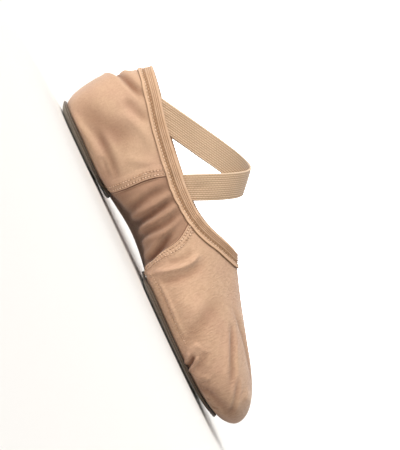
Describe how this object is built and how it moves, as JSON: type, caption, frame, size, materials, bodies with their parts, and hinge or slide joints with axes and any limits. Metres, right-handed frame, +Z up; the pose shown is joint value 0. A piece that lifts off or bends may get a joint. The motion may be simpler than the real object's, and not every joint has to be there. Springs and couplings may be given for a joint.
{
  "type": "split sole ballet slipper",
  "caption": "Split sole ballet slipper: hollow stretch canvas upper with seamed arch panel, bound collar, two suede sole patches and crossed instep elastics.",
  "frame": {"origin": "middle of the shoe's footprint, on the floor it stands on", "axes": "+Y from heel to toe, +X to the inner side of this left shoe, +Z up"},
  "size_m": [0.0872, 0.24, 0.0954],
  "materials": {
    "canvas": "matt stretch cotton canvas",
    "binding": "bias binding with a rolled edge",
    "elastic": "fine ribbed elastic",
    "sole_suede": "napped split suede",
    "insole_cloth": "brushed cotton lining"
  },
  "bodies": {
    "root": {"upper": "canvas", "collar_binding": "binding", "elastic_strap_lower": "elastic", "elastic_strap_upper": "elastic", "forefoot_sole_patch": "sole_suede", "heel_sole_patch": "sole_suede", "forefoot_insole": "insole_cloth", "heel_insole": "insole_cloth"}
  },
  "joints": []
}
